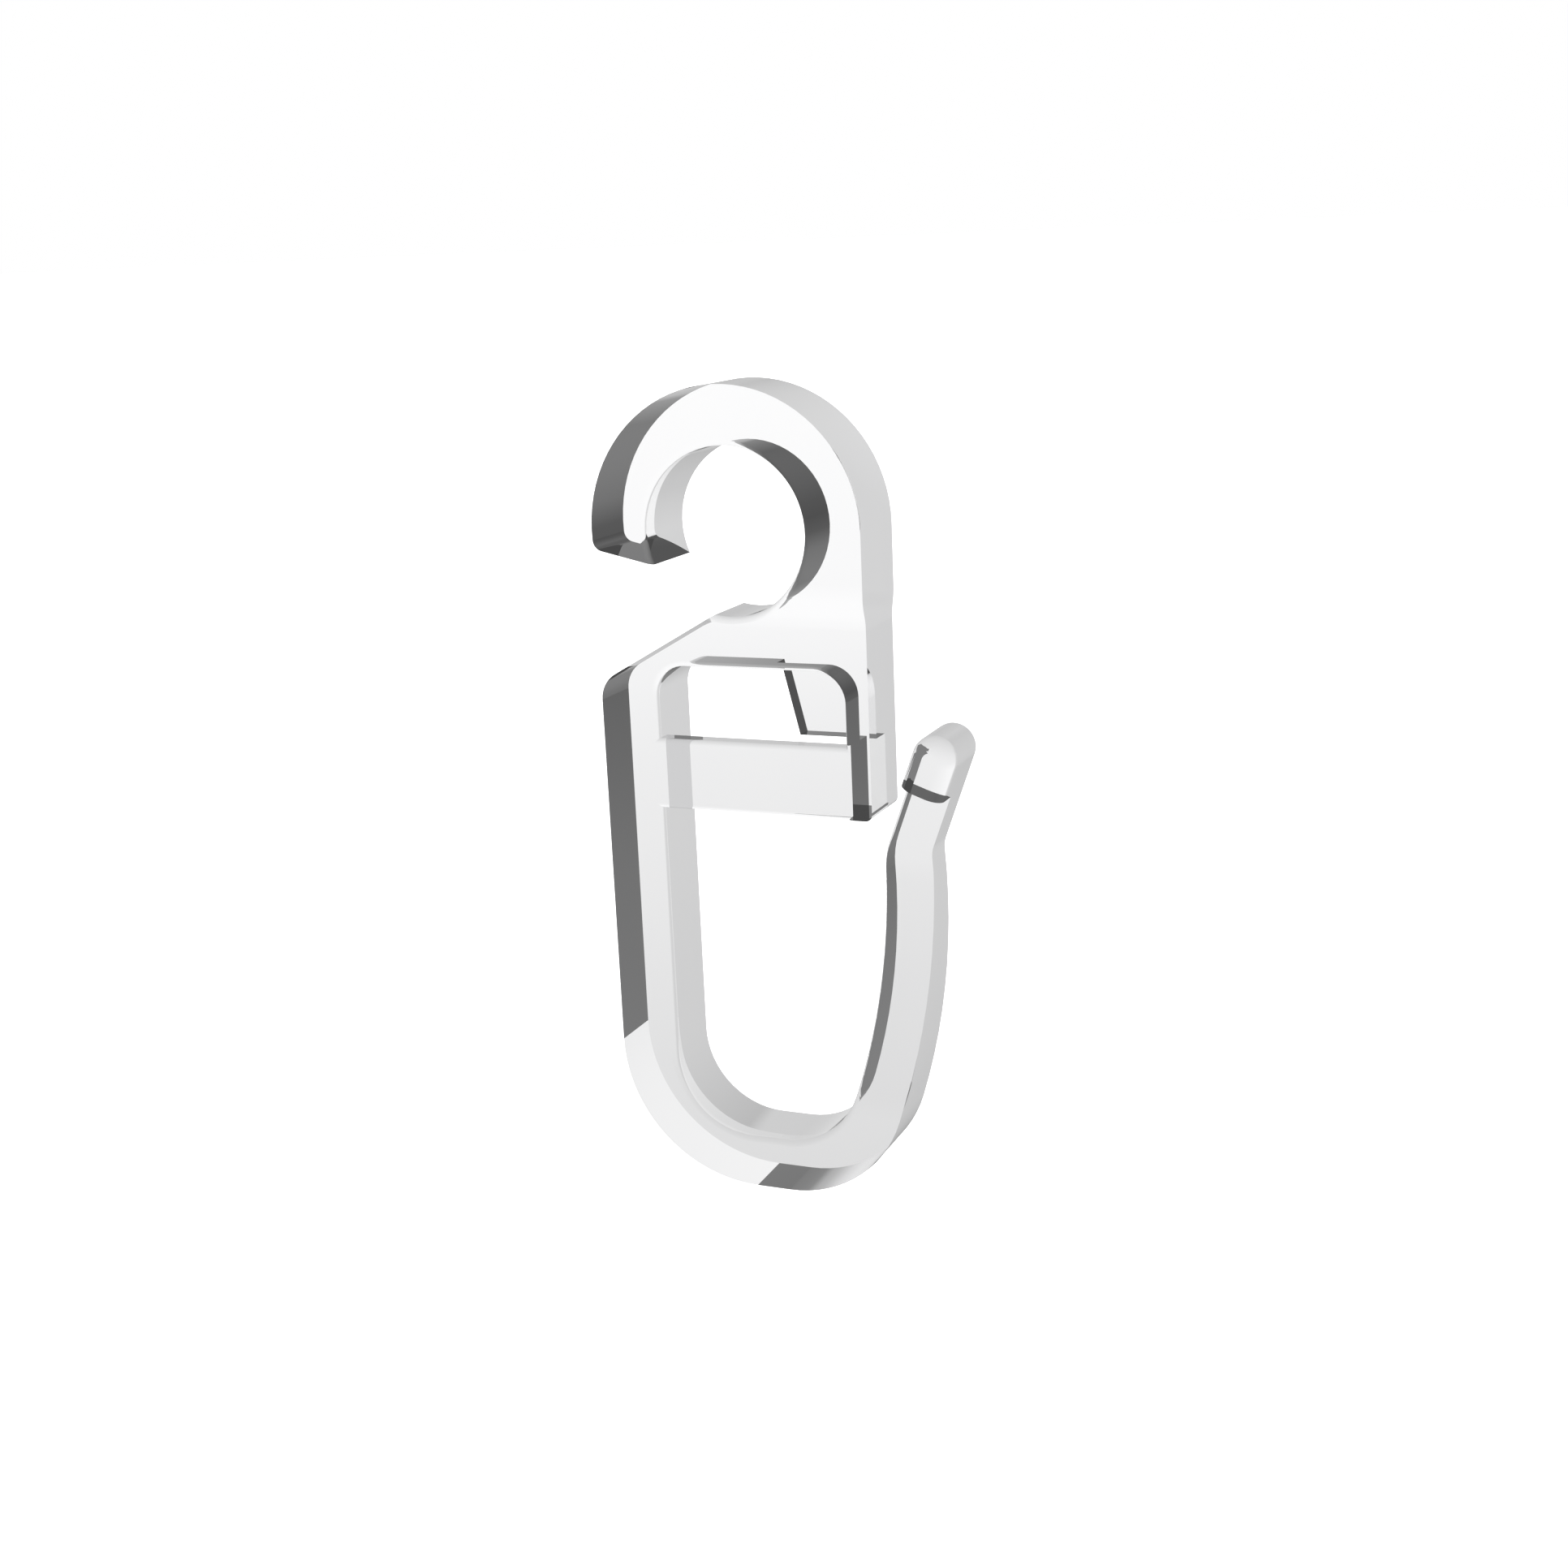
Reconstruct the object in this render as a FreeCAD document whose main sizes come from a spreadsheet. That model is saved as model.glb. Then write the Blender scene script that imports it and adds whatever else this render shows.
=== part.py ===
"""Curtain pleat hook: a C-shaped eye over a framed window, with a J-shaped lower loop.

One moulded piece of clear plastic. Lengths are millimetres and angles are degrees.
The origin is the centre of the eye at mid thickness. +X points to the free arm,
+Z points up and -Y is the front.
"""
import FreeCAD
import Part

import math
import os

import Sketcher

V = FreeCAD.Vector

# alias, value, meaning
SIZES = [
    ("eye_outer_radius", 6.03, "outside of the C-shaped eye"),
    ("eye_hole_radius", 3.55, "hole of the eye"),
    ("eye_proud", 0.27, "eye proud of the body on either face"),
    ("body_thickness", 3.14, "front to back below the eye"),
    ("blend_length", 1.3, "height of the change in thickness"),
    ("blend_gap", 0.35, "lower end of that change below the eye hole"),
    ("tip_drop", 1.38, "inner corner of the eye tip below the eye centre"),
    ("tip_angle", 13.0, "fall of the tip end face towards the hole"),
    ("tip_round", 0.5, "outer corner of the tip"),
    ("mouth_edge", 0.74, "shoulder corner left of the eye centre"),
    ("shoulder_angle", 29.3, "fall of the shoulder"),
    ("shoulder_round", 1.3, "corner between shoulder and back arm"),
    ("arm_reach", 6.17, "outer side of the back arm from the eye centre"),
    ("arm_width", 2.6, "width of the back arm"),
    ("bridge", 2.17, "height between the eye hole and the window"),
    ("window_round", 1.3, "upper corners of the window"),
    ("post_width", 1.09, "width of the post"),
    ("post_end", 11.93, "lower end of post and crossbar below the eye centre"),
    ("post_round", 0.3, "outer lower corner of the post"),
    ("hook_drop", 28.97, "lowest point below the eye centre"),
    ("loop_radius", 6.22, "outer arc from back arm to bottom"),
    ("loop_rise_radius", 5.47, "outer arc from bottom to free arm"),
    ("floor_width", 2.28, "height of the bottom bar"),
    ("inner_rise_radius", 3.5, "inner arc from bottom to free arm"),
    ("free_gap", 2.16, "outermost point of the free arm beyond the eye"),
    ("free_rise", 12.77, "height of that point over the bottom"),
    ("free_sweep", 30.0, "radius of the free arm's outer side"),
    ("free_width", 2.2, "width of the free arm"),
    ("free_thickness", 1.66, "front to back at the top of the free arm"),
    ("taper_rise", 3.97, "height over the bottom where the free arm starts to thin"),
    ("taper_gap", 2.07, "depth below the post where it has its least thickness"),
    ("taper_blend", 5.0, "rounding at both ends of the taper"),
    ("lean_angle", 20.1, "outward lean of the free arm's top"),
    ("bend_radius", 1.2, "outer side of the bend"),
    ("head_gap", 2.575, "head centre beyond the eye"),
    ("head_rise", 2.69, "head centre above the end of the post"),
    ("head_radius", 0.96, "half the width of the head"),
    ("head_length", 1.59, "head centre to the ledge"),
    ("head_flat", 0.26, "half the width of the flat that the head's rounding leaves"),
    ("inner_round", 0.25, "front edges of the eye hole, window and loop"),
    ("web_thickness", 1.0, "web plate, level with the back"),
    ("web_left", 2.08, "lower left corner of the web from the eye centre"),
    ("web_height", 3.18, "height of the web below the window's top"),
    ("web_angle", 13.5, "lean of the web's left edge"),
    ("bar_thickness", 0.8, "crossbar, level with the front"),
    ("bar_height", 3.06, "height of the crossbar"),
    ("bar_round", 0.2, "front edges of the crossbar"),
]
SIZE = {alias: value for alias, value, meaning in SIZES}

doc = FreeCAD.newDocument("curtain_hook")
sheet = doc.addObject("Spreadsheet::Sheet", "Sizes")
for row, (alias, value, meaning) in enumerate(SIZES, start=1):
    sheet.set("A%d" % row, meaning)
    sheet.set("B%d" % row, "%g" % value)
    sheet.setAlias("B%d" % row, alias)
doc.recompute()

body = doc.addObject("PartDesign::Body", "Hook")
body.Label = "curtain_hook"


def origin_plane(role):
    """The body's own origin plane with this role."""
    for feature in body.Origin.OriginFeatures:
        if feature.Role == role:
            return feature


def new_sketch(name, role):
    """A sketch on one of the body's origin planes."""
    sketch = body.newObject("Sketcher::SketchObject", name)
    sketch.AttachmentSupport = [(origin_plane(role), "")]
    sketch.MapMode = "FlatFace"
    return sketch


def line(sketch, start, end):
    """A line between two sketch points."""
    return sketch.addGeometry(Part.LineSegment(V(*start, 0), V(*end, 0)), False)


def arc(sketch, centre, radius, first, last):
    """An arc that runs anticlockwise between two angles."""
    circle = Part.Circle(V(*centre, 0), V(0, 0, 1), radius)
    return sketch.addGeometry(Part.ArcOfCircle(circle, math.radians(first), math.radians(last)), False)


def join(sketch, kind, first, first_end, second, second_end):
    """Ties two ends together: 'Coincident' for a corner, 'Tangent' for a smooth run."""
    sketch.addConstraint(Sketcher.Constraint(kind, first, first_end, second, second_end))


def dimension(sketch, name, expression, kind, *arguments):
    """A named dimension that takes its value from the sheet."""
    index = sketch.addConstraint(Sketcher.Constraint(kind, *arguments))
    sketch.renameConstraint(index, name)
    sketch.setExpression("Constraints.%s" % name, expression)


def beside(point, distance, angle):
    """The point at a distance and an angle from another."""
    return (point[0] + distance * math.cos(math.radians(angle)),
            point[1] + distance * math.sin(math.radians(angle)))


def heading(start, end):
    """The angle of the way from one point to another."""
    return math.degrees(math.atan2(end[1] - start[1], end[0] - start[0]))


START, END, CENTRE = 1, 2, 3
ORIGIN = (-1, 1)
EYE = (0, 0)

# Levels and sides that several sketches share.
window_top = SIZE["eye_hole_radius"] + SIZE["bridge"]
arm_in = SIZE["arm_width"] - SIZE["arm_reach"]
post_in = SIZE["eye_outer_radius"] - SIZE["post_width"]
post_middle = SIZE["eye_outer_radius"] - SIZE["post_width"] / 2
taper_start = SIZE["hook_drop"] - SIZE["taper_rise"]
taper_end = SIZE["post_end"] + SIZE["taper_gap"]
relief_top = SIZE["post_end"] + SIZE["taper_gap"] / 3

# The tip's end face falls from its rounded corner to the hole.
tip_round = SIZE["tip_round"]
tip_angle = SIZE["tip_angle"]
tip_reach = SIZE["eye_outer_radius"] - tip_round
hole_angle = 180 + math.degrees(math.asin(SIZE["tip_drop"] / SIZE["eye_hole_radius"]))
hole_corner = beside(EYE, SIZE["eye_hole_radius"], hole_angle)
tip_level = SIZE["eye_hole_radius"] * math.sin(math.radians(hole_angle + tip_angle)) + tip_round
tip_turn = 180 - tip_angle - math.degrees(math.asin(tip_level / tip_reach))
tip_centre = beside(EYE, tip_reach, tip_turn)

# The shoulder falls from the mouth to the back arm.
shoulder = SIZE["shoulder_angle"]
shoulder_round = SIZE["shoulder_round"]
mouth_angle = -90 - math.degrees(math.asin(SIZE["mouth_edge"] / SIZE["eye_hole_radius"]))
mouth_corner = beside(EYE, SIZE["eye_hole_radius"], mouth_angle)
shoulder_x = shoulder_round - SIZE["arm_reach"]
shoulder_fall = (mouth_corner[0] - shoulder_x) * math.tan(math.radians(shoulder))
shoulder_z = mouth_corner[1] - shoulder_fall - shoulder_round / math.cos(math.radians(shoulder))
shoulder_centre = (shoulder_x, shoulder_z)

# The window's upper corners and the post's lower one.
window_round = SIZE["window_round"]
window_z = -window_top - window_round
post_corner_centre = (SIZE["eye_outer_radius"] - SIZE["post_round"], SIZE["post_round"] - SIZE["post_end"])

# The loop's arcs stand on the bottom bar, and the free arm's arcs share one centre.
bottom = -SIZE["hook_drop"]
floor = bottom + SIZE["floor_width"]
loop_x = SIZE["loop_radius"] - SIZE["arm_reach"]
loop_centre = (loop_x, bottom + SIZE["loop_radius"])
inner_radius = SIZE["loop_radius"] - SIZE["arm_width"]
inner_centre = (loop_x, floor + inner_radius)
free_sweep = SIZE["free_sweep"]
inner_sweep = free_sweep - SIZE["free_width"]
free_reach = SIZE["eye_outer_radius"] + SIZE["free_gap"]
free_middle = SIZE["hook_drop"] - SIZE["free_rise"]
sweep_centre = (free_reach - free_sweep, -free_middle)


def rise_centre(base, radius, sweep):
    """The centre of an arc on the bottom bar that runs into an arc of the free arm."""
    height = base + radius - sweep_centre[1]
    return (sweep_centre[0] + math.sqrt((sweep - radius) ** 2 - height ** 2), base + radius)


rise_outer_centre = rise_centre(bottom, SIZE["loop_rise_radius"], free_sweep)
rise_inner_centre = rise_centre(floor, SIZE["inner_rise_radius"], inner_sweep)

# The top of the free arm leans out and ends in the head.
lean = SIZE["lean_angle"]
head_radius = SIZE["head_radius"]
head = (SIZE["eye_outer_radius"] + SIZE["head_gap"], SIZE["head_rise"] - SIZE["post_end"])
bend_radius = SIZE["bend_radius"]
inner_bend = bend_radius + SIZE["free_width"]


def on_head(across, down):
    """A point beside the axis of the leaning top, measured from the head centre."""
    return beside(beside(head, across, -lean), down, -90 - lean)


def bend_down(across):
    """How far below the head centre a bend's centre lies, when it is so far across."""
    start = on_head(across, 0)
    turn = math.radians(heading(sweep_centre, start) - 90 + lean)
    gap = math.dist(sweep_centre, start)
    offset = gap * math.sin(turn)
    return gap * math.cos(turn) - math.sqrt((free_sweep + bend_radius) ** 2 - offset ** 2)


outer_down = bend_down(head_radius + bend_radius)
inner_down = bend_down(inner_bend - head_radius)
bend_outer_centre = on_head(head_radius + bend_radius, outer_down)
bend_inner_centre = on_head(inner_bend - head_radius, inner_down)
bend_outer_heading = heading(sweep_centre, bend_outer_centre)
bend_inner_heading = heading(sweep_centre, bend_inner_centre)
rise_outer_heading = heading(sweep_centre, rise_outer_centre)
rise_inner_heading = heading(sweep_centre, rise_inner_centre)

# Outline, seen from the front.
outline = new_sketch("Outline", "XZ_Plane")
eye_outer = arc(outline, EYE, SIZE["eye_outer_radius"], 0, tip_turn)
tip_corner = arc(outline, tip_centre, tip_round, tip_turn, 270 - tip_angle)
tip_end = line(outline, beside(tip_centre, tip_round, 270 - tip_angle), hole_corner)
eye_hole = arc(outline, EYE, SIZE["eye_hole_radius"], mouth_angle, hole_angle)
shoulder_edge = line(outline, mouth_corner, beside(shoulder_centre, shoulder_round, 90 + shoulder))
shoulder_corner = arc(outline, shoulder_centre, shoulder_round, 90 + shoulder, 180)
back_outer = line(outline, (-SIZE["arm_reach"], shoulder_z), (-SIZE["arm_reach"], loop_centre[1]))
loop_outer = arc(outline, loop_centre, SIZE["loop_radius"], 180, 270)
bottom_edge = line(outline, (loop_x, bottom), (rise_outer_centre[0], bottom))
rise_outer = arc(outline, rise_outer_centre, SIZE["loop_rise_radius"], 270, 360 + rise_outer_heading)
free_outer = arc(outline, sweep_centre, free_sweep, rise_outer_heading, bend_outer_heading)
bend_outer = arc(outline, bend_outer_centre, bend_radius, 180 - lean, 180 + bend_outer_heading)
lean_outer = line(outline, on_head(head_radius, outer_down), on_head(head_radius, 0))
head_end = arc(outline, head, head_radius, -lean, 180 - lean)
lean_inner = line(outline, on_head(-head_radius, 0), on_head(-head_radius, inner_down))
bend_inner = arc(outline, bend_inner_centre, inner_bend, 180 - lean, 180 + bend_inner_heading)
free_inner = arc(outline, sweep_centre, inner_sweep, rise_inner_heading, bend_inner_heading)
rise_inner = arc(outline, rise_inner_centre, SIZE["inner_rise_radius"], 270, 360 + rise_inner_heading)
floor_edge = line(outline, (rise_inner_centre[0], floor), (loop_x, floor))
loop_inner = arc(outline, inner_centre, inner_radius, 180, 270)
back_inner = line(outline, (arm_in, inner_centre[1]), (arm_in, window_z))
window_left = arc(outline, (arm_in + window_round, window_z), window_round, 90, 180)
window_edge = line(outline, (arm_in + window_round, -window_top), (post_in - window_round, -window_top))
window_right = arc(outline, (post_in - window_round, window_z), window_round, 0, 90)
post_inner = line(outline, (post_in, window_z), (post_in, -SIZE["post_end"]))
post_bottom = line(outline, (post_in, -SIZE["post_end"]), (post_corner_centre[0], -SIZE["post_end"]))
post_corner = arc(outline, post_corner_centre, SIZE["post_round"], 270, 360)
post_outer = line(outline, (SIZE["eye_outer_radius"], post_corner_centre[1]), (SIZE["eye_outer_radius"], 0))

join(outline, "Tangent", eye_outer, END, tip_corner, START)
join(outline, "Tangent", tip_corner, END, tip_end, START)
join(outline, "Coincident", tip_end, END, eye_hole, END)
join(outline, "Coincident", eye_hole, START, shoulder_edge, START)
join(outline, "Tangent", shoulder_edge, END, shoulder_corner, START)
join(outline, "Tangent", shoulder_corner, END, back_outer, START)
join(outline, "Tangent", back_outer, END, loop_outer, START)
join(outline, "Tangent", loop_outer, END, bottom_edge, START)
join(outline, "Tangent", bottom_edge, END, rise_outer, START)
join(outline, "Tangent", rise_outer, END, free_outer, START)
join(outline, "Tangent", free_outer, END, bend_outer, END)
join(outline, "Tangent", bend_outer, START, lean_outer, START)
join(outline, "Tangent", lean_outer, END, head_end, START)
join(outline, "Tangent", head_end, END, lean_inner, START)
join(outline, "Tangent", lean_inner, END, bend_inner, START)
join(outline, "Tangent", bend_inner, END, free_inner, END)
join(outline, "Tangent", free_inner, START, rise_inner, END)
join(outline, "Tangent", rise_inner, START, floor_edge, START)
join(outline, "Tangent", floor_edge, END, loop_inner, END)
join(outline, "Tangent", loop_inner, START, back_inner, START)
join(outline, "Tangent", back_inner, END, window_left, END)
join(outline, "Tangent", window_left, START, window_edge, START)
join(outline, "Tangent", window_edge, END, window_right, END)
join(outline, "Tangent", window_right, START, post_inner, START)
join(outline, "Coincident", post_inner, END, post_bottom, START)
join(outline, "Tangent", post_bottom, END, post_corner, START)
join(outline, "Tangent", post_corner, END, post_outer, START)
join(outline, "Tangent", post_outer, END, eye_outer, START)
for edge in (back_outer, back_inner, post_inner, post_outer):
    outline.addConstraint(Sketcher.Constraint("Vertical", edge))
for edge in (bottom_edge, floor_edge, window_edge, post_bottom):
    outline.addConstraint(Sketcher.Constraint("Horizontal", edge))
outline.addConstraint(Sketcher.Constraint("Coincident", eye_outer, CENTRE, *ORIGIN))
outline.addConstraint(Sketcher.Constraint("Coincident", eye_hole, CENTRE, *ORIGIN))
outline.addConstraint(Sketcher.Constraint("Coincident", free_inner, CENTRE, free_outer, CENTRE))
outline.addConstraint(Sketcher.Constraint("Vertical", floor_edge, END, bottom_edge, START))
outline.addConstraint(Sketcher.Constraint("Parallel", lean_inner, lean_outer))
dimension(outline, "eye_outer", "Sizes.eye_outer_radius", "Radius", eye_outer, SIZE["eye_outer_radius"])
dimension(outline, "eye_hole", "Sizes.eye_hole_radius", "Radius", eye_hole, SIZE["eye_hole_radius"])
dimension(outline, "tip_round", "Sizes.tip_round", "Radius", tip_corner, tip_round)
dimension(outline, "tip_drop", "Sizes.tip_drop", "DistanceY", tip_end, END, *ORIGIN, SIZE["tip_drop"])
dimension(outline, "tip_angle", "-Sizes.tip_angle", "Angle", tip_end, math.radians(-tip_angle))
dimension(outline, "mouth_edge", "Sizes.mouth_edge", "DistanceX", shoulder_edge, START, *ORIGIN,
          SIZE["mouth_edge"])
dimension(outline, "shoulder_angle", "Sizes.shoulder_angle - 180", "Angle", shoulder_edge,
          math.radians(shoulder - 180))
dimension(outline, "shoulder_round", "Sizes.shoulder_round", "Radius", shoulder_corner, shoulder_round)
dimension(outline, "arm_reach", "Sizes.arm_reach", "DistanceX", back_outer, END, *ORIGIN, SIZE["arm_reach"])
dimension(outline, "arm_width", "Sizes.arm_width", "DistanceX", back_outer, END, back_inner, END,
          SIZE["arm_width"])
dimension(outline, "window_top", "Sizes.eye_hole_radius + Sizes.bridge", "DistanceY", window_edge, END, *ORIGIN,
          window_top)
dimension(outline, "window_left", "Sizes.window_round", "Radius", window_left, window_round)
dimension(outline, "window_right", "Sizes.window_round", "Radius", window_right, window_round)
dimension(outline, "post_width", "Sizes.post_width", "DistanceX", post_inner, END, post_outer, START,
          SIZE["post_width"])
dimension(outline, "post_end", "Sizes.post_end", "DistanceY", post_bottom, START, *ORIGIN, SIZE["post_end"])
dimension(outline, "post_round", "Sizes.post_round", "Radius", post_corner, SIZE["post_round"])
dimension(outline, "hook_drop", "Sizes.hook_drop", "DistanceY", bottom_edge, START, *ORIGIN,
          SIZE["hook_drop"])
dimension(outline, "loop_radius", "Sizes.loop_radius", "Radius", loop_outer, SIZE["loop_radius"])
dimension(outline, "loop_rise", "Sizes.loop_rise_radius", "Radius", rise_outer, SIZE["loop_rise_radius"])
dimension(outline, "floor_width", "Sizes.floor_width", "DistanceY", bottom_edge, START, floor_edge, END,
          SIZE["floor_width"])
dimension(outline, "inner_rise", "Sizes.inner_rise_radius", "Radius", rise_inner, SIZE["inner_rise_radius"])
dimension(outline, "free_sweep", "Sizes.free_sweep", "Radius", free_outer, free_sweep)
dimension(outline, "free_width", "Sizes.free_sweep - Sizes.free_width", "Radius", free_inner, inner_sweep)
dimension(outline, "free_middle", "Sizes.hook_drop - Sizes.free_rise", "DistanceY", free_outer, CENTRE, *ORIGIN,
          free_middle)
dimension(outline, "free_reach", "Sizes.free_sweep - Sizes.eye_outer_radius - Sizes.free_gap", "DistanceX",
          free_outer, CENTRE, *ORIGIN, free_sweep - free_reach)
dimension(outline, "bend_outer", "Sizes.bend_radius", "Radius", bend_outer, bend_radius)
dimension(outline, "bend_inner", "Sizes.bend_radius + Sizes.free_width", "Radius", bend_inner, inner_bend)
dimension(outline, "lean", "90 - Sizes.lean_angle", "Angle", lean_outer, math.radians(90 - lean))
dimension(outline, "head_x", "Sizes.eye_outer_radius + Sizes.head_gap", "DistanceX", *ORIGIN, head_end, CENTRE,
          head[0])
dimension(outline, "head_drop", "Sizes.post_end - Sizes.head_rise", "DistanceY", head_end, CENTRE, *ORIGIN,
          -head[1])
dimension(outline, "head_radius", "Sizes.head_radius", "Radius", head_end, head_radius)


def pad(name, sketch, length, **options):
    """Material from a sketch, with its length taken from the sheet."""
    feature = body.newObject("PartDesign::Pad", name)
    feature.Profile = sketch
    for option, value in options.items():
        setattr(feature, option, value)
    feature.setExpression("Length", length)
    doc.recompute()
    return feature


pad("Blank", outline, "Sizes.body_thickness + 2 * Sizes.eye_proud", SideType="Symmetric")

# Thickness, seen from the side: the sketch's first axis is Y.
body_front = -SIZE["body_thickness"] / 2
eye_front = body_front - SIZE["eye_proud"]
outside = -SIZE["body_thickness"]
below = -SIZE["hook_drop"] - SIZE["body_thickness"]
blend_end = -SIZE["eye_hole_radius"] - SIZE["blend_gap"]
blend_top = blend_end + SIZE["blend_length"]
blend_arc = (SIZE["blend_length"] ** 2 + SIZE["eye_proud"] ** 2) / (4 * SIZE["eye_proud"])
blend_turn = math.degrees(math.asin(SIZE["blend_length"] / 2 / blend_arc))

step = new_sketch("ThicknessStep", "YZ_Plane")
upper = arc(step, (eye_front + blend_arc, blend_top), blend_arc, 180, 180 + blend_turn)
lower = arc(step, (body_front - blend_arc, blend_end), blend_arc, 0, blend_turn)
face = line(step, (body_front, blend_end), (body_front, below))
base = line(step, (body_front, below), (outside, below))
back = line(step, (outside, below), (outside, blend_top))
lid = line(step, (outside, blend_top), (eye_front, blend_top))
join(step, "Tangent", upper, END, lower, END)
join(step, "Tangent", lower, START, face, START)
join(step, "Coincident", face, END, base, START)
join(step, "Coincident", base, END, back, START)
join(step, "Coincident", back, END, lid, START)
join(step, "Coincident", lid, END, upper, START)
step.addConstraint(Sketcher.Constraint("Vertical", face))
step.addConstraint(Sketcher.Constraint("Vertical", back))
step.addConstraint(Sketcher.Constraint("Horizontal", base))
step.addConstraint(Sketcher.Constraint("Horizontal", lid))
step.addConstraint(Sketcher.Constraint("Horizontal", upper, CENTRE, upper, START))
step.addConstraint(Sketcher.Constraint("Equal", upper, lower))
dimension(step, "eye_front", "Sizes.body_thickness / 2 + Sizes.eye_proud", "DistanceX", lid, END, *ORIGIN,
          -eye_front)
dimension(step, "body_front", "Sizes.body_thickness / 2", "DistanceX", face, END, *ORIGIN, -body_front)
dimension(step, "blend_end", "Sizes.eye_hole_radius + Sizes.blend_gap", "DistanceY", face, START, *ORIGIN,
          -blend_end)
dimension(step, "blend_length", "Sizes.blend_length", "DistanceY", face, START, lid, END,
          SIZE["blend_length"])
dimension(step, "below", "Sizes.hook_drop + Sizes.body_thickness", "DistanceY", base, END, *ORIGIN, -below)
dimension(step, "outside", "Sizes.body_thickness", "DistanceX", base, END, *ORIGIN, -outside)

front_step = body.newObject("PartDesign::Pocket", "FrontStep")
front_step.Profile = step
front_step.Type = "ThroughAll"
front_step.SideType = "Symmetric"
doc.recompute()
both_steps = body.newObject("PartDesign::Mirrored", "BackStep")
both_steps.Originals = [front_step]
both_steps.MirrorPlane = (origin_plane("XZ_Plane"), [""])
body.Tip = both_steps
doc.recompute()

# The free arm thins towards its top; its back stays level with the body.
thinning = SIZE["body_thickness"] - SIZE["free_thickness"]
free_front = body_front + thinning
round_off = SIZE["taper_blend"]
lean_in = 2 * round_off - thinning
taper_length = taper_start - taper_end
taper_turn = math.degrees(math.asin(2 * round_off / math.hypot(taper_length, lean_in))
                          - math.atan2(lean_in, taper_length))
start_centre = (body_front + round_off, -taper_start)
end_centre = (free_front - round_off, -taper_end)

taper = new_sketch("FreeArmTaper", "YZ_Plane")
start_arc = arc(taper, start_centre, round_off, 180 - taper_turn, 180)
ramp = line(taper, beside(start_centre, round_off, 180 - taper_turn),
            beside(end_centre, round_off, -taper_turn))
end_arc = arc(taper, end_centre, round_off, -taper_turn, 0)
flat = line(taper, (free_front, -taper_end), (free_front, -relief_top))
top = line(taper, (free_front, -relief_top), (outside, -relief_top))
back = line(taper, (outside, -relief_top), (outside, -taper_start))
base = line(taper, (outside, -taper_start), (body_front, -taper_start))
join(taper, "Tangent", start_arc, START, ramp, START)
join(taper, "Tangent", ramp, END, end_arc, START)
join(taper, "Tangent", end_arc, END, flat, START)
join(taper, "Coincident", flat, END, top, START)
join(taper, "Coincident", top, END, back, START)
join(taper, "Coincident", back, END, base, START)
join(taper, "Coincident", base, END, start_arc, END)
taper.addConstraint(Sketcher.Constraint("Vertical", flat))
taper.addConstraint(Sketcher.Constraint("Vertical", back))
taper.addConstraint(Sketcher.Constraint("Horizontal", top))
taper.addConstraint(Sketcher.Constraint("Horizontal", base))
taper.addConstraint(Sketcher.Constraint("Horizontal", start_arc, CENTRE, start_arc, END))
dimension(taper, "body_front", "Sizes.body_thickness / 2", "DistanceX", base, END, *ORIGIN, -body_front)
dimension(taper, "thinning", "Sizes.body_thickness - Sizes.free_thickness", "DistanceX", base, END, flat, END,
          thinning)
dimension(taper, "outside", "Sizes.body_thickness", "DistanceX", top, END, *ORIGIN, -outside)
dimension(taper, "taper_start", "Sizes.hook_drop - Sizes.taper_rise", "DistanceY", base, END, *ORIGIN,
          taper_start)
dimension(taper, "taper_end", "Sizes.post_end + Sizes.taper_gap", "DistanceY", flat, START, *ORIGIN, taper_end)
dimension(taper, "relief_top", "Sizes.post_end + Sizes.taper_gap / 3", "DistanceY", top, START, *ORIGIN,
          relief_top)
dimension(taper, "start_blend", "Sizes.taper_blend", "Radius", start_arc, round_off)
dimension(taper, "end_blend", "Sizes.taper_blend", "Radius", end_arc, round_off)
free_taper = body.newObject("PartDesign::Pocket", "FreeArmThinning")
free_taper.Profile = taper
free_taper.Type = "ThroughAll"
free_taper.Reversed = True
doc.recompute()

# The leaning top is relieved in front of the same plane, up to the ledge under the head.
ledge_down = SIZE["head_length"]
relief_half = head_radius + SIZE["inner_round"]
relief_end = (SIZE["head_rise"] + SIZE["taper_gap"] * 2 / 3) / math.cos(math.radians(lean))
relief = new_sketch("LedgeRelief", "XZ_Plane")
relief.setExpression(".AttachmentOffset.Base.z", "Sizes.free_thickness - Sizes.body_thickness / 2")
axis = relief.addGeometry(Part.LineSegment(V(*head, 0), V(*on_head(0, ledge_down), 0)), True)
ledge_edge = line(relief, on_head(-relief_half, ledge_down), on_head(relief_half, ledge_down))
right = line(relief, on_head(relief_half, ledge_down), on_head(relief_half, relief_end))
low = line(relief, on_head(relief_half, relief_end), on_head(-relief_half, relief_end))
left = line(relief, on_head(-relief_half, relief_end), on_head(-relief_half, ledge_down))
relief_sides = (ledge_edge, right, low, left)
for first, second in zip(relief_sides, relief_sides[1:] + relief_sides[:1]):
    join(relief, "Coincident", first, END, second, START)
relief.addConstraint(Sketcher.Constraint("Symmetric", ledge_edge, START, ledge_edge, END, axis, END))
relief.addConstraint(Sketcher.Constraint("Perpendicular", ledge_edge, axis))
relief.addConstraint(Sketcher.Constraint("Parallel", right, axis))
relief.addConstraint(Sketcher.Constraint("Parallel", left, axis))
relief.addConstraint(Sketcher.Constraint("Parallel", low, ledge_edge))
dimension(relief, "head_x", "Sizes.eye_outer_radius + Sizes.head_gap", "DistanceX", *ORIGIN, axis, START,
          head[0])
dimension(relief, "head_drop", "Sizes.post_end - Sizes.head_rise", "DistanceY", axis, START, *ORIGIN, -head[1])
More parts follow.
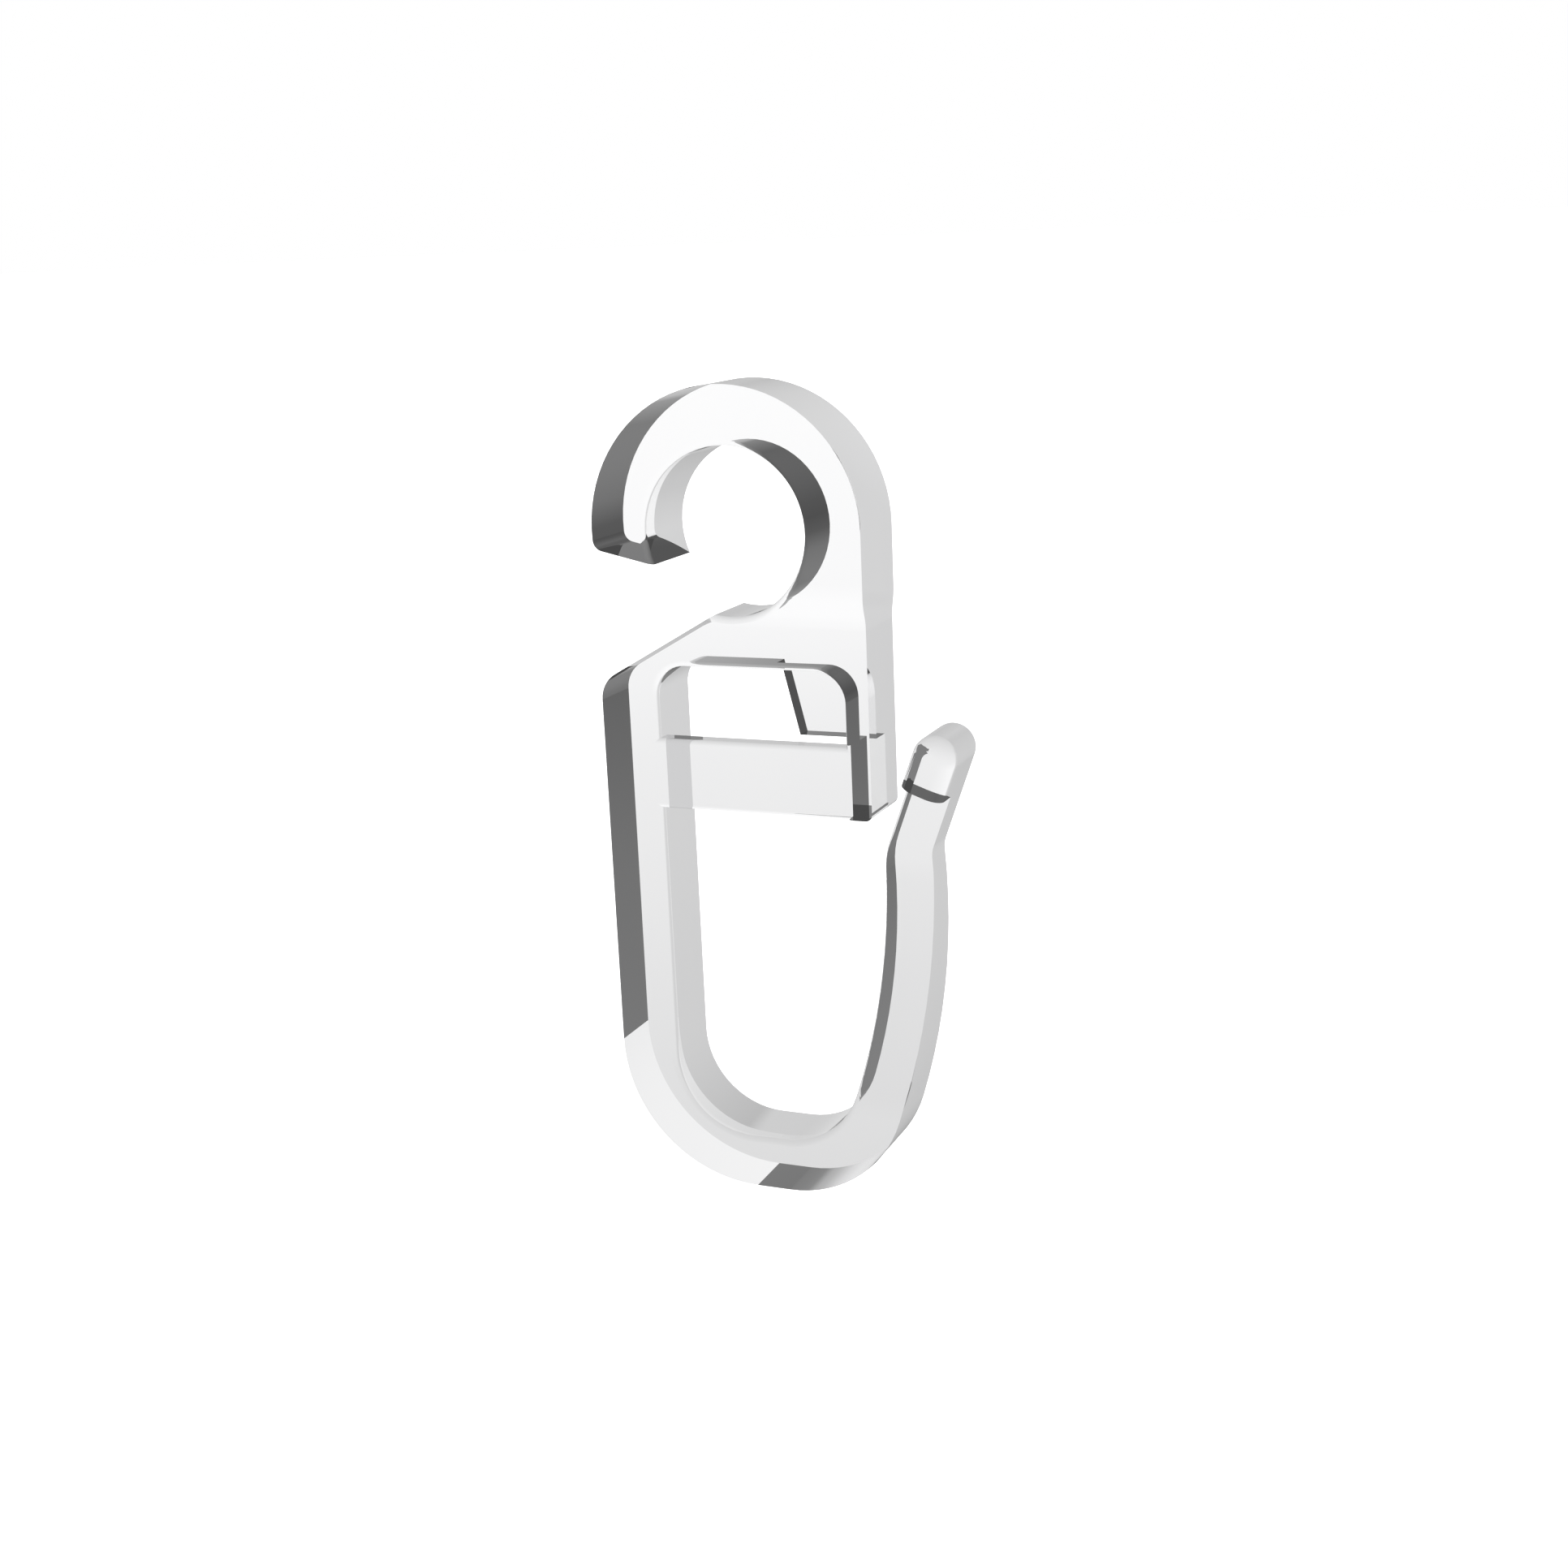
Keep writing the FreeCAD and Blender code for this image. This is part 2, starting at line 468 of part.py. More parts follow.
dimension(relief, "head_length", "Sizes.head_length", "Distance", axis, ledge_down)
dimension(relief, "lean", "-90 - Sizes.lean_angle", "Angle", axis, math.radians(-90 - lean))
dimension(relief, "wide", "2 * (Sizes.head_radius + Sizes.inner_round)", "Distance", ledge_edge,
          2 * relief_half)
dimension(relief, "long",
          "(Sizes.head_rise + Sizes.taper_gap * 2 / 3) / cos(Sizes.lean_angle) - Sizes.head_length",
          "Distance", right, relief_end - ledge_down)
ledge_relief = body.newObject("PartDesign::Pocket", "LedgeCut")
ledge_relief.Profile = relief
ledge_relief.Type = "ThroughAll"
ledge_relief.Reversed = True
doc.recompute()


def edge_at(feature, x, y, z):
    """The name of the edge that passes through a point."""
    point = Part.Vertex(x, y, z)
    distances = [edge.distToShape(point)[0] for edge in feature.Shape.Edges]
    return "Edge%d" % (distances.index(min(distances)) + 1)


def fillet(name, feature, points, radius):
    """Rounds the edges that pass through the points."""
    names = []
    for point in points:
        edge = edge_at(feature, *point)
        if edge not in names:
            names.append(edge)
    rounding = body.newObject("PartDesign::Fillet", name)
    rounding.Base = (feature, names)
    rounding.setExpression("Radius", radius)
    doc.recompute()
    return rounding


def on_front(across, down):
    """A point of the head's front outline."""
    x, z = on_head(across, down)
    return (x, body_front, z)


head_rounding = fillet("HeadRounding", ledge_relief, [
    on_front(head_radius, ledge_down / 2),
    on_front(0, -head_radius),
    on_front(-head_radius, ledge_down / 2),
], "Sizes.head_radius - Sizes.head_flat")

fillet("FrontRounding", head_rounding, [
    (0, eye_front, SIZE["eye_hole_radius"]),
    (post_in, body_front, (window_z - SIZE["post_end"]) / 2),
], "Sizes.inner_round")

# Web plate in the window's upper right, level with the back.
web_high = -SIZE["eye_hole_radius"] - SIZE["bridge"] / 2
web_low = -window_top - SIZE["web_height"]
web_high_left = SIZE["web_left"] - (web_high - web_low) * math.tan(math.radians(SIZE["web_angle"]))
web = new_sketch("Web", "XZ_Plane")
web.setExpression(".AttachmentOffset.Base.z", "-Sizes.body_thickness / 2")
web_side = line(web, (web_high_left, web_high), (SIZE["web_left"], web_low))
web_bottom = line(web, (SIZE["web_left"], web_low), (post_middle, web_low))
web_right = line(web, (post_middle, web_low), (post_middle, web_high))
web_top = line(web, (post_middle, web_high), (web_high_left, web_high))
web_sides = (web_side, web_bottom, web_right, web_top)
for first, second in zip(web_sides, web_sides[1:] + web_sides[:1]):
    join(web, "Coincident", first, END, second, START)
web.addConstraint(Sketcher.Constraint("Horizontal", web_bottom))
web.addConstraint(Sketcher.Constraint("Vertical", web_right))
web.addConstraint(Sketcher.Constraint("Horizontal", web_top))
dimension(web, "web_left", "Sizes.web_left", "DistanceX", *ORIGIN, web_side, END, SIZE["web_left"])
dimension(web, "web_low", "Sizes.eye_hole_radius + Sizes.bridge + Sizes.web_height", "DistanceY", web_side, END,
          *ORIGIN, -web_low)
dimension(web, "web_angle", "Sizes.web_angle - 90", "Angle", web_side, math.radians(SIZE["web_angle"] - 90))
dimension(web, "post_middle", "Sizes.eye_outer_radius - Sizes.post_width / 2", "DistanceX", *ORIGIN,
          web_right, START, post_middle)
dimension(web, "bridge_middle", "Sizes.eye_hole_radius + Sizes.bridge / 2", "DistanceY", web_top, END, *ORIGIN,
          -web_high)
pad("WebPlate", web, "Sizes.web_thickness")

# Crossbar from back arm to post, level with the front, by its section seen from the side.
bar_round = SIZE["bar_round"]
bar_back = body_front + SIZE["bar_thickness"]
bar_low = -SIZE["post_end"]
bar_high = bar_low + SIZE["bar_height"]
high_centre = (body_front + bar_round, bar_high - bar_round)
low_centre = (body_front + bar_round, bar_low + bar_round)
bar = new_sketch("BarSection", "YZ_Plane")
bar_top = line(bar, (bar_back, bar_high), (high_centre[0], bar_high))
high_corner = arc(bar, high_centre, bar_round, 90, 180)
bar_face = line(bar, (body_front, high_centre[1]), (body_front, low_centre[1]))
low_corner = arc(bar, low_centre, bar_round, 180, 270)
bar_bottom = line(bar, (low_centre[0], bar_low), (bar_back, bar_low))
bar_rear = line(bar, (bar_back, bar_low), (bar_back, bar_high))
join(bar, "Tangent", bar_top, END, high_corner, START)
join(bar, "Tangent", high_corner, END, bar_face, START)
join(bar, "Tangent", bar_face, END, low_corner, START)
join(bar, "Tangent", low_corner, END, bar_bottom, START)
join(bar, "Coincident", bar_bottom, END, bar_rear, START)
join(bar, "Coincident", bar_rear, END, bar_top, START)
bar.addConstraint(Sketcher.Constraint("Horizontal", bar_top))
bar.addConstraint(Sketcher.Constraint("Horizontal", bar_bottom))
bar.addConstraint(Sketcher.Constraint("Vertical", bar_rear))
bar.addConstraint(Sketcher.Constraint("Vertical", bar_face))
bar.addConstraint(Sketcher.Constraint("Equal", high_corner, low_corner))
dimension(bar, "bar_round", "Sizes.bar_round", "Radius", high_corner, bar_round)
dimension(bar, "body_front", "Sizes.body_thickness / 2", "DistanceX", bar_face, START, *ORIGIN, -body_front)
dimension(bar, "bar_thickness", "Sizes.bar_thickness", "DistanceX", bar_face, START, bar_rear, START,
          SIZE["bar_thickness"])
dimension(bar, "bar_height", "Sizes.bar_height", "DistanceY", bar_rear, START, bar_rear, END,
          SIZE["bar_height"])
dimension(bar, "post_end", "Sizes.post_end", "DistanceY", bar_bottom, END, *ORIGIN, SIZE["post_end"])
crossbar = pad("Crossbar", bar, "Sizes.eye_outer_radius - Sizes.post_width / 2", SideType="Two sides")
crossbar.setExpression("Length2", "Sizes.arm_reach - Sizes.arm_width / 2")
body.Tip = crossbar
doc.recompute()

for item in doc.Objects:
    if "Invalid" in item.State or "Error" in item.State:
        raise RuntimeError("%s did not compute: %s" % (item.Name, item.State))
    if item.isDerivedFrom("PartDesign::Feature") and (item.Shape.isNull() or not item.Shape.isValid()):
        raise RuntimeError("%s has no valid shape" % item.Name)
if len(body.Shape.Solids) != 1:
    raise RuntimeError("the hook is not one solid")

os.makedirs("parts", exist_ok=True)
body.Shape.exportStep("parts/%s.step" % body.Label)
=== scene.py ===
import math

import bpy
from bpy.props import FloatProperty, FloatVectorProperty, IntProperty, PointerProperty
from mathutils import Matrix, Vector


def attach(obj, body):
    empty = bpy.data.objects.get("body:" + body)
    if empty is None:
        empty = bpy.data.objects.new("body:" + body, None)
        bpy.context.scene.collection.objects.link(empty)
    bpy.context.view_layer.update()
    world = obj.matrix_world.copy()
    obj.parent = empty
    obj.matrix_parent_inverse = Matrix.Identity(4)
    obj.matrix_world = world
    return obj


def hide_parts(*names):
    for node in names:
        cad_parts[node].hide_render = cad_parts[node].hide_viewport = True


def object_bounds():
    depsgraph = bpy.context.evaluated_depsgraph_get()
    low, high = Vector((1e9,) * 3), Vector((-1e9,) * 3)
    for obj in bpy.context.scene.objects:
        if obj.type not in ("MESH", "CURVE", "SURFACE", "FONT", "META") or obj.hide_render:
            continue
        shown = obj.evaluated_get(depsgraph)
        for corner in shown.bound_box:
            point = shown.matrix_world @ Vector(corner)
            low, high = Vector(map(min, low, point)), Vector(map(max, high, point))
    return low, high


bl_info = {
    "name": "Curtain hook",
    "version": (1, 0, 0),
    "blender": (4, 5, 0),
    "location": "3D View > Sidebar > Curtain hook",
    "description": "Clear plastic curtain hook with its studio stage",
    "category": "Object",
}

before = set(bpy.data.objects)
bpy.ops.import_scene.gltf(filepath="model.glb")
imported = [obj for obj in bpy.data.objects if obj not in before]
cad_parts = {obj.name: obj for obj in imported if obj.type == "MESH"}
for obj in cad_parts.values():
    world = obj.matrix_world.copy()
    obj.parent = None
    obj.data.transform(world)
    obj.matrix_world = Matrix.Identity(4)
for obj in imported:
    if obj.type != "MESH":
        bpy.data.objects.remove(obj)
CAD_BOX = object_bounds()

NODE = "curtain_hook"
PIECE = "moulded_hook"
FINISH = "moulded_finish"
KEPT_NORMAL = "surface_normal"
WHITE = (1.0, 1.0, 1.0, 1.0)

# The studio's brightness against the height above the horizon, in degrees: the wall ahead and
# behind, the grey cards at the sides, and the dim room that the plastic's walls mirror inside.
WALL = ((-40, 0.66), (-32, 0.68), (-26, 0.72), (-21, 0.77),
        (-17, 0.83), (-13, 0.88), (-9, 0.97), (-4, 1.0))
CARDS = ((-48, 0.51), (-38, 0.57), (-28, 0.63), (-16, 0.68), (-8, 0.70), (4, 0.62))
ROOM = ((-32, 0.22), (-24, 0.20), (-16, 0.17), (-8, 0.10),
        (0, 0.08), (8, 0.09), (24, 0.13), (31, 0.09))
# The soft lamp's brightness in that room against the angle from its middle, in degrees. It is a
# tall lamp, so an angle upwards or downwards counts less.
LAMP = ((0, 0.72), (6, 0.62), (12, 0.38), (14, 0.33), (17, 0.14), (23, 0.07), (30, 0.0))
# Where the side cards start, in degrees from straight ahead.
CARD_EDGE = ((38, 0.0), (42, 1.0))
# Counts of mirrorings are whole numbers, so they are tested half a step below.
HALF_STEP = 0.5

# The melt's streaks are longest down the hook.
STREAK_STRETCH = (1.0, 0.6, 0.35)
STREAK_DETAIL, STREAK_BLEND = 3.0, 0.5
WAVE_DETAIL, WAVE_BLEND = 1.0, 0.4

# How far the normal of an upright wall's facet may lean to the front or the back.
UPRIGHT = 0.3

# The camera's sensor in millimetres, and the nearest and farthest that it sees in metres.
SENSOR_WIDTH = 36.0
NEAREST, FARTHEST = 0.001, 100.0

# The named inputs of the skin's node tree, with the kind of each.
SKIN_INPUTS = {
    "Geometry": "Geometry", "Weld Distance": "Float", "Crease Angle": "Float",
    "Wall Margin": "Float", "Arc Centre": "Vector", "Arc Radius": "Float",
    "Flank Distance": "Float", "Flank End": "Float",
    "Head Centre": "Vector", "Head Upwards": "Vector", "Head Leftwards": "Vector",
    "Head Length": "Float", "Head Band": "Float", "Least Turn": "Float", "Greatest Turn": "Float",
    "Plastic": "Material", "Arc Plastic": "Material", "Flank Plastic": "Material",
    "Head Plastic": "Material",
}


class HookShapeSettings(bpy.types.PropertyGroup):
    """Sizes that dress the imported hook."""

    weld: FloatProperty(
        name="Weld distance",
        description="Points of the packed mesh closer than this become one",
        default=1e-6, min=0.0, subtype="DISTANCE", unit="LENGTH")
    crease: FloatProperty(
        name="Crease angle",
        description="Edges that turn by more than this stay crisp",
        default=math.radians(24), min=0.0, max=math.pi, subtype="ANGLE", unit="ROTATION")
    wall_margin: FloatProperty(
        name="Wall margin",
        description="How far a facet may lie from a wall's exact surface and still belong to it",
        default=0.00004, min=0.0, subtype="DISTANCE", unit="LENGTH")
    arc_centre: FloatVectorProperty(
        name="Loop arc centre",
        description="Centre of the bright outer arc between back arm and bottom",
        default=(0.00005, 0.0, -0.02275), subtype="XYZ", unit="LENGTH")
    arc_radius: FloatProperty(
        name="Loop arc radius",
        description="Outer radius of that arc",
        default=0.00622, min=0.0, subtype="DISTANCE", unit="LENGTH")
    flank_distance: FloatProperty(
        name="Flank distance",
        description="Distance of the right outer wall from the eye's centre line",
        default=0.00603, min=0.0, subtype="DISTANCE", unit="LENGTH")
    flank_end: FloatProperty(
        name="Flank end",
        description="Height down to which that wall bends light less, at the window's top",
        default=-0.006, subtype="DISTANCE", unit="LENGTH")
    head_centre: FloatVectorProperty(
        name="Head centre",
        description="Centre of the rounded head of the free arm",
        default=(0.008605, 0.0, -0.00924), subtype="XYZ", unit="LENGTH")
    head_lean: FloatProperty(
        name="Head lean",
        description="How far the head leans outwards",
        default=math.radians(20.1), subtype="ANGLE", unit="ROTATION")
    head_length: FloatProperty(
        name="Head length",
        description="Length of the head from its centre down to its ledge",
        default=0.00159, min=0.0, subtype="DISTANCE", unit="LENGTH")
    head_band: FloatProperty(
        name="Head band",
        description="How far above the head's centre the dark band of its left rounding reaches",
        default=0.0005, subtype="DISTANCE", unit="LENGTH")
    head_turn: FloatVectorProperty(
        name="Head band turn",
        description="From where to where that band's facets turn away from the front",
        default=(math.radians(7), math.radians(45)), size=2, unit="ROTATION")


class HookPlasticSettings(bpy.types.PropertyGroup):
    """Finish of the moulded plastic."""

    tint: FloatVectorProperty(
        name="Tint",
        description="Colour that the clear plastic lends to light passing through",
        default=(1.0, 1.0, 1.0), min=0.0, max=1.0, size=3, subtype="COLOR")
    flow_tint: FloatVectorProperty(
        name="Flow tint",
        description="Colour of the faint streaks that the melt left in the mould",
        default=(0.98, 0.98, 0.99), min=0.0, max=1.0, size=3, subtype="COLOR")
    ior: FloatProperty(
        name="Index of refraction",
        description="How strongly the polished faces bend light",
        default=1.2, min=1.0, max=2.0)
    arc_ior: FloatProperty(
        name="Arc index of refraction",
        description="How strongly the bright outer arc bends light",
        default=1.04, min=1.0, max=2.0)
    # The arc's glow is painted light: an emission that brightens the outer arc, which is no lamp.
    arc_painted_glow: FloatProperty(
        name="Arc painted glow",
        description="Painted glow that lights up the outer arc, which is no lamp",
        default=0.05, min=0.0, max=1.0)
    flank_ior: FloatProperty(
        name="Flank index of refraction",
        description="How strongly the right outer wall bends light",
        default=1.13, min=1.0, max=2.0)
    head_ior: FloatProperty(
        name="Head band index of refraction",
        description="How strongly the left rounding of the head bends light",
        default=1.0, min=1.0, max=2.0)
    polish: FloatProperty(
        name="Roughness",
        description="Roughness of the least polished places of the mould",
        default=0.03, min=0.0, max=1.0, subtype="FACTOR")
    ripple: FloatProperty(
        name="Ripple height",
        description="Height of the faint waves that shrinkage leaves on moulded faces",
        default=0.000003, min=0.0, subtype="DISTANCE", unit="LENGTH")
    ripple_width: FloatProperty(
        name="Ripple width",
        description="Width of one such wave",
        default=0.004, min=0.0001, subtype="DISTANCE", unit="LENGTH")


class HookStageSettings(bpy.types.PropertyGroup):
    """Floor, light and camera."""

    floor_size: FloatProperty(
        name="Floor size",
        description="Side of the pale floor",
        default=40.0, min=0.1, subtype="DISTANCE", unit="LENGTH")
    lamp_azimuth: FloatProperty(
        name="Lamp azimuth",
        description="Direction of the soft lamp, from straight ahead towards the right",
        default=math.radians(-33), subtype="ANGLE", unit="ROTATION")
    lamp_elevation: FloatProperty(
        name="Lamp elevation",
        description="Height of the soft lamp above the horizon",
        default=math.radians(-7), subtype="ANGLE", unit="ROTATION")
    lamp_height: FloatProperty(
        name="Lamp height",
        description="Height of the soft lamp as a multiple of its width",
        default=1.45, min=0.1)
    depth_light: FloatProperty(
        name="Light left deep inside",
        description="Brightness of what is mirrored twice or more inside the plastic",
        default=0.065, min=0.0, max=1.0)
    bounces: IntProperty(
        name="Light bounces",
        description="How often light may bend or turn inside the plastic",
        default=24, min=4)
    camera_place: FloatVectorProperty(
        name="Camera place",
        description="Where the photograph was taken from, relative to the eye",
        default=(0.037091, -0.082725, 0.011651), subtype="XYZ", unit="LENGTH")
    camera_azimuth: FloatProperty(
        name="Camera azimuth",
        description="Direction that the camera stands in, from the front towards the right",
        default=math.radians(23.3), subtype="ANGLE", unit="ROTATION")
    camera_elevation: FloatProperty(
        name="Camera elevation",
        description="How far the camera looks down",
        default=math.radians(14.092), subtype="ANGLE", unit="ROTATION")
    camera_roll: FloatProperty(
        name="Camera roll",
        description="Turn about the line of sight",
        default=math.radians(-2.472), subtype="ANGLE", unit="ROTATION")
    camera_lens: FloatProperty(
        name="Lens",
        description="Focal length on a 36 mm sensor",
        default=50.0, min=1.0, subtype="DISTANCE_CAMERA")


def feed(tree, socket, value):
    """Links a socket, or sets its value."""
    if isinstance(value, bpy.types.NodeSocket):
        tree.links.new(value, socket)
    else:
        socket.default_value = value


def add_node(tree, kind, **values):
    """A node with its properties, in lower case, and its inputs, with _ for a space."""
    node = tree.nodes.new(kind)
    for key, value in values.items():
        if key.islower():
            setattr(node, key, value)
    for key, value in values.items():
        if not key.islower():
            feed(tree, node.inputs[key.replace("_", " ")], value)
    return node


def add_sockets(tree, in_out, kinds):
    """Named inputs or outputs of a node group, with the kind of each."""
    for name, kind in kinds.items():
        tree.interface.new_socket(name, in_out=in_out, socket_type="NodeSocket" + kind)


def reckon(tree, operation, *values):
    """One step of arithmetic on numbers or sockets."""
    node = add_node(tree, "ShaderNodeMath", operation=operation)
    for socket, value in zip(node.inputs, values):
        feed(tree, socket, value)
    return node.outputs[0]


def reckon_vector(tree, operation, first, second):
    """One step of arithmetic on two vectors."""
    node = add_node(tree, "ShaderNodeVectorMath", operation=operation)
    feed(tree, node.inputs[0], first)
    feed(tree, node.inputs[1], second)
    return node.outputs["Value" if operation == "DOT_PRODUCT" else "Vector"]


def split(tree, vector):
    """The X, Y and Z of a vector."""
    return add_node(tree, "ShaderNodeSeparateXYZ", Vector=vector).outputs


def distance(tree, first, second):
    """Length of the offset with these two sides."""
    squares = [reckon(tree, "POWER", side, 2.0) for side in (first, second)]
    return reckon(tree, "SQRT", reckon(tree, "ADD", *squares))


def blend(tree, factor, first, second, way="MIX"):
    """Blends two colours by a factor."""
    node = add_node(tree, "ShaderNodeMix", data_type="RGBA", blend_type=way)
    colours = [socket for socket in node.inputs if socket.type == "RGBA"]
    for socket, value in zip((node.inputs[0], *colours), (factor, first, second)):
        feed(tree, socket, value)
    return next(socket for socket in node.outputs if socket.type == "RGBA")


def grey_by_angle(tree, angle, stops, low=-90, high=90):
    """Greys that follow an angle, given as stops in degrees."""
    share = add_node(tree, "ShaderNodeMapRange", Value=angle, From_Min=math.radians(low),
                     From_Max=math.radians(high))
    ramp = add_node(tree, "ShaderNodeValToRGB", Fac=share.outputs[0])
    elements = ramp.color_ramp.elements
    while len(elements) < len(stops):
        elements.new(0.5)
    for element, (degrees, grey) in zip(elements, stops):
        element.position = (degrees - low) / (high - low)
        element.color = (grey, grey, grey, 1.0)
    return ramp.outputs[0]


def studio_world(settings):
    """Soft light all round: pale walls, grey side cards and a dim room for inner reflections."""
    world = bpy.data.worlds.new("studio")
    world.use_nodes = True
    tree = world.node_tree
    tree.nodes.clear()
    axes = split(tree, add_node(tree, "ShaderNodeTexCoord").outputs["Generated"])
    height = reckon(tree, "ARCSINE", axes["Z"])
    sideways = reckon(tree, "ABSOLUTE", axes["X"])
    ahead = reckon(tree, "ABSOLUTE", axes["Y"])

    aside = reckon(tree, "ARCTAN2", sideways, ahead)
    seen = blend(tree, grey_by_angle(tree, aside, CARD_EDGE, low=0),
                 grey_by_angle(tree, height, WALL), grey_by_angle(tree, height, CARDS))

    # The lamp stands ahead and, turned half round, behind.
    across = reckon(tree, "MULTIPLY", axes["X"], reckon(tree, "SIGN", axes["Y"]))
    beside = reckon(tree, "SUBTRACT", reckon(tree, "ARCTAN2", across, ahead), settings.lamp_azimuth)
    over = reckon(tree, "DIVIDE", reckon(tree, "SUBTRACT", height, settings.lamp_elevation),
                  settings.lamp_height)
    glow = grey_by_angle(tree, distance(tree, beside, over), LAMP, low=0)
    mirrored = blend(tree, 1.0, grey_by_angle(tree, height, ROOM), glow, way="ADD")

    path = add_node(tree, "ShaderNodeLightPath").outputs
    once = reckon(tree, "GREATER_THAN", path["Glossy Depth"], 1 - HALF_STEP)
    twice = reckon(tree, "GREATER_THAN", path["Glossy Depth"], 2 - HALF_STEP)
    deep = (settings.depth_light,) * 3 + (1.0,)
    light = blend(tree, once, seen, blend(tree, twice, mirrored, deep))
    light = blend(tree, path["Is Camera Ray"], light, WHITE)
    back = add_node(tree, "ShaderNodeBackground", Color=light)
    add_node(tree, "ShaderNodeOutputWorld", Surface=back.outputs[0])
    return world


def moulded_finish():
    """Shader group: faint flow streaks, uneven polish and shrinkage waves of a moulding."""
    tree = bpy.data.node_groups.new(FINISH, "ShaderNodeTree")
    add_sockets(tree, "INPUT", {"Tint": "Color", "Flow Tint": "Color", "Roughest": "Float",
                                "Wave Density": "Float"})
    add_sockets(tree, "OUTPUT", {"Color": "Color", "Roughness": "Float", "Height": "Float"})
    given = add_node(tree, "NodeGroupInput").outputs
    place = add_node(tree, "ShaderNodeTexCoord").outputs["Object"]
    stretch = add_node(tree, "ShaderNodeMapping", Vector=place, Scale=STREAK_STRETCH)
    streaks = add_node(tree, "ShaderNodeTexNoise", Vector=stretch.outputs[0],
                       Scale=given["Wave Density"], Detail=STREAK_DETAIL,
                       Roughness=STREAK_BLEND).outputs[0]
    waves = add_node(tree, "ShaderNodeTexNoise", Vector=place, Scale=given["Wave Density"],
                     Detail=WAVE_DETAIL, Roughness=WAVE_BLEND).outputs[0]
    add_node(tree, "NodeGroupOutput", Height=waves,
             Color=blend(tree, streaks, given["Tint"], given["Flow Tint"]),
             Roughness=reckon(tree, "MULTIPLY", streaks, given["Roughest"]))
    return tree


def clear_plastic(name, settings, ior, glow=0.0):
    """Polished clear plastic with the given index of refraction and a faint painted glow, an
    emission that brightens it though it is no lamp.
    """
    material = bpy.data.materials.new(name)
    material.use_nodes = True
    tree = material.node_tree
    group = bpy.data.node_groups.get(FINISH) or moulded_finish()
    finish = add_node(tree, "ShaderNodeGroup", node_tree=group)
    for key, value in (("Tint", (*settings.tint, 1.0)), ("Flow Tint", (*settings.flow_tint, 1.0)),
                       ("Roughest", settings.polish),
                       ("Wave Density", 1.0 / settings.ripple_width)):
        finish.inputs[key].default_value = value
    bump = add_node(tree, "ShaderNodeBump", Distance=settings.ripple,
                    Height=finish.outputs["Height"])
    shader = tree.nodes["Principled BSDF"]
    # The emission strength is a painted glow, not light of the plastic's own.
    for key, value in (("Base Color", finish.outputs["Color"]),
                       ("Roughness", finish.outputs["Roughness"]),
                       ("Normal", bump.outputs["Normal"]), ("Metallic", 0.0),
                       ("Transmission Weight", 1.0), ("IOR", ior), ("Emission Color", WHITE),
                       ("Emission Strength", glow)):
        feed(tree, shader.inputs[key], value)
    return material


def compare(tree, operation, first, second, **margin):
    """Compares two numbers of each facet or edge, with an Epsilon where they should be equal."""
    node = add_node(tree, "FunctionNodeCompare", data_type="FLOAT", operation=operation, A=first,
                    B=second, **margin)
    return node.outputs["Result"]


def every(tree, *tests):
    """True where every test is."""
    result = tests[0]
    for test in tests[1:]:
        both = add_node(tree, "FunctionNodeBooleanMath", operation="AND")
        feed(tree, both.inputs[0], result)
        feed(tree, both.inputs[1], test)
        result = both.outputs[0]
    return result


def arc_facets(tree, given, place, upright):
    """Picks the bright outer arc of the loop, left of its centre and below it, which takes the
    painted glow.
    """
    offset = split(tree, reckon_vector(tree, "SUBTRACT", place, given["Arc Centre"]))
    reach = distance(tree, offset["X"], offset["Z"])
    return every(tree, upright,
                 compare(tree, "EQUAL", reach, given["Arc Radius"], Epsilon=given["Wall Margin"]),
                 compare(tree, "LESS_THAN", offset["X"], 0.0),
                 compare(tree, "LESS_THAN", offset["Z"], 0.0))


def flank_facets(tree, given, place, upright):
    """Picks the right outer wall, round the eye and straight down to its end."""
    spot = split(tree, place)
    reach = distance(tree, spot["X"], reckon(tree, "MAXIMUM", spot["Z"], 0.0))
    return every(tree, upright,
                 compare(tree, "EQUAL", reach, given["Flank Distance"],
                         Epsilon=given["Wall Margin"]),
                 compare(tree, "GREATER_THAN", spot["X"], 0.0),
                 compare(tree, "GREATER_THAN", spot["Z"], given["Flank End"]))


def head_facets(tree, given, place, normal):
    """Picks a band of the head's left front rounding, by how far its facets turn."""
    rise = reckon_vector(tree, "DOT_PRODUCT",
                         reckon_vector(tree, "SUBTRACT", place, given["Head Centre"]),
                         given["Head Upwards"])
    ledge = reckon(tree, "MULTIPLY", given["Head Length"], -1.0)
    turned = reckon_vector(tree, "DOT_PRODUCT", normal, given["Head Leftwards"])
    return every(tree, compare(tree, "LESS_THAN", split(tree, normal)["Y"], 0.0),
                 compare(tree, "GREATER_THAN", rise, ledge),
                 compare(tree, "LESS_THAN", rise, given["Head Band"]),
                 compare(tree, "GREATER_THAN", split(tree, place)["X"], given["Flank Distance"]),
                 compare(tree, "GREATER_THAN", turned, reckon(tree, "SINE", given["Least Turn"])),
                 compare(tree, "LESS_THAN", turned, reckon(tree, "SINE", given["Greatest Turn"])))


